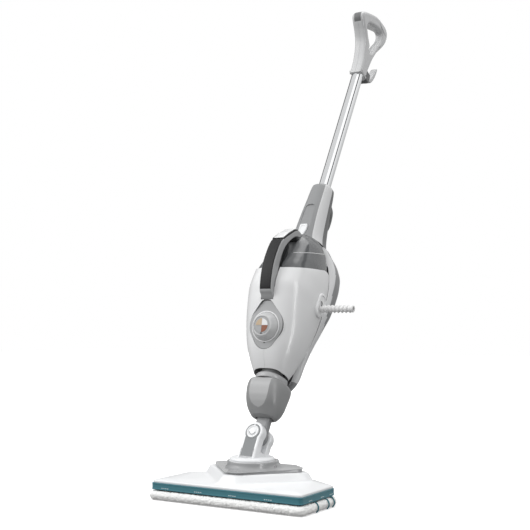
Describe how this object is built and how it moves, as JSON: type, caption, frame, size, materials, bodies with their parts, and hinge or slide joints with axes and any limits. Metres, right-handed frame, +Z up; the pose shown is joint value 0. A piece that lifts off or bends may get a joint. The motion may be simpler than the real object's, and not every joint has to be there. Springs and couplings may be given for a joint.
{
  "type": "steam mop",
  "caption": "Upright steam mop leaning back, with a docked hand-held steamer, chrome tube, loop handle, swivel head and a white terry pad with a teal band.",
  "frame": {"origin": "middle of the hand grip in the handle loop, on the mop's mid-plane", "axes": "+Z up, -Y the way the mop faces, +X the user's left seen from behind the handle; the upright leans back towards +Y in the rest pose"},
  "size_m": [0.3264, 0.687, 1.0276],
  "materials": {
    "white_plastic": "satin white moulding",
    "grey_plastic": "fine satin grey",
    "dark_plastic": "matte dark grey",
    "panel_plastic": "satin mid grey",
    "dial_print": "printed quadrants",
    "chrome_tube": "bright chrome",
    "smoke_tank": "clear smoked",
    "grip_rubber": "soft black",
    "steel": "plain",
    "boiler_metal": "die cast",
    "silicone": "translucent white",
    "duct_plastic": "natural",
    "teal_fabric": "woven elastic",
    "terry": "looped microfibre",
    "hook_tape": "hook tape",
    "circuit_board": "solder mask"
  },
  "bodies": {
    "frame": {"tongue": "grey_plastic", "cup_front": "grey_plastic", "cup_rear": "grey_plastic", "cup_screws": "steel", "steam_pipe": "steel", "nozzle_ring": "grey_plastic", "dock_spine": "grey_plastic", "dock_rails": "steel", "neck_front": "grey_plastic", "neck_rear": "grey_plastic", "neck_screws": "steel", "rear_hook": "dark_plastic", "tube": "chrome_tube", "handle_left": "grey_plastic", "handle_right": "grey_plastic", "handle_inset": "dark_plastic", "handle_screws": "steel", "hook_base": "dark_plastic", "release_spring": "steel"},
    "yoke": {"yoke": "white_plastic", "swivel_ball": "white_plastic", "ear_insets": "grey_plastic", "roll_caps": "white_plastic", "roll_pin": "steel"},
    "head": {"head_cover": "white_plastic", "sole_plate": "dark_plastic", "pad_band": "teal_fabric", "mop_pad": "terry", "pad_loops": "teal_fabric", "hook_strips": "hook_tape", "head_screws": "steel", "steam_duct": "duct_plastic", "swivel_collar": "grey_plastic", "pitch_pin": "steel"},
    "steamer": {"case_left": "white_plastic", "case_right": "white_plastic", "case_screws": "steel", "water_tank": "smoke_tank", "tank_gasket": "grip_rubber", "grip_well": "white_plastic", "grip_frame": "white_plastic", "grip_pad": "grip_rubber", "trigger_spring": "steel", "control_panel": "panel_plastic", "inlet_boss": "white_plastic", "lead_sleeve": "white_plastic", "boiler": "boiler_metal", "boiler_clamps": "boiler_metal", "pump": "dark_plastic", "control_board": "circuit_board", "water_hose": "silicone", "steam_hose": "silicone", "steam_nozzle": "dark_plastic"},
    "knob": {"dial_knob": "panel_plastic", "dial_face": "dial_print"},
    "trigger": {"steam_trigger": "dark_plastic"},
    "release": {"release_button": "white_plastic"},
    "cap": {"filler_cap": "dark_plastic"},
    "hook": {"top_hook": "dark_plastic"}
  },
  "joints": [
    {"name": "roll_swivel", "type": "hinge", "parent": "frame", "child": "yoke", "pos_m": [0, -0.50138, -0.9024], "axis": [0, 0.8616, -0.5075], "range_deg": [-50, 50]},
    {"name": "pitch_swivel", "type": "hinge", "parent": "yoke", "child": "head", "pos_m": [0, -0.52828, -0.94806], "axis": [1, 0, 0], "range_deg": [-30.5, 45]},
    {"name": "steamer_lift", "type": "slide", "parent": "frame", "child": "steamer", "axis": [0, -0.8616, 0.5075], "range_m": [0, 0.16]},
    {"name": "knob_turn", "type": "hinge", "parent": "steamer", "child": "knob", "pos_m": [0, -0.47963, -0.6976], "axis": [0, -0.9863, 0.165], "range_deg": [-120, 120]},
    {"name": "trigger_press", "type": "slide", "parent": "steamer", "child": "trigger", "axis": [0, -0.8616, 0.5075], "range_m": [0, 0.004], "stiffness_N_per_m": 500, "springref_m": -0.004},
    {"name": "release_press", "type": "slide", "parent": "frame", "child": "release", "axis": [0, 0.8616, -0.5075], "range_m": [0, 0.003], "stiffness_N_per_m": 600, "springref_m": -0.003},
    {"name": "cap_turn", "type": "hinge", "parent": "steamer", "child": "cap", "pos_m": [-0.038, -0.33538, -0.56147], "axis": [-0.788, 0.3125, 0.5305], "range_deg": [0, 90]},
    {"name": "hook_turn", "type": "hinge", "parent": "frame", "child": "hook", "pos_m": [0, -0.04125, -0.13702], "axis": [0, 0.8616, -0.5075], "range_deg": [0, 180]}
  ]
}
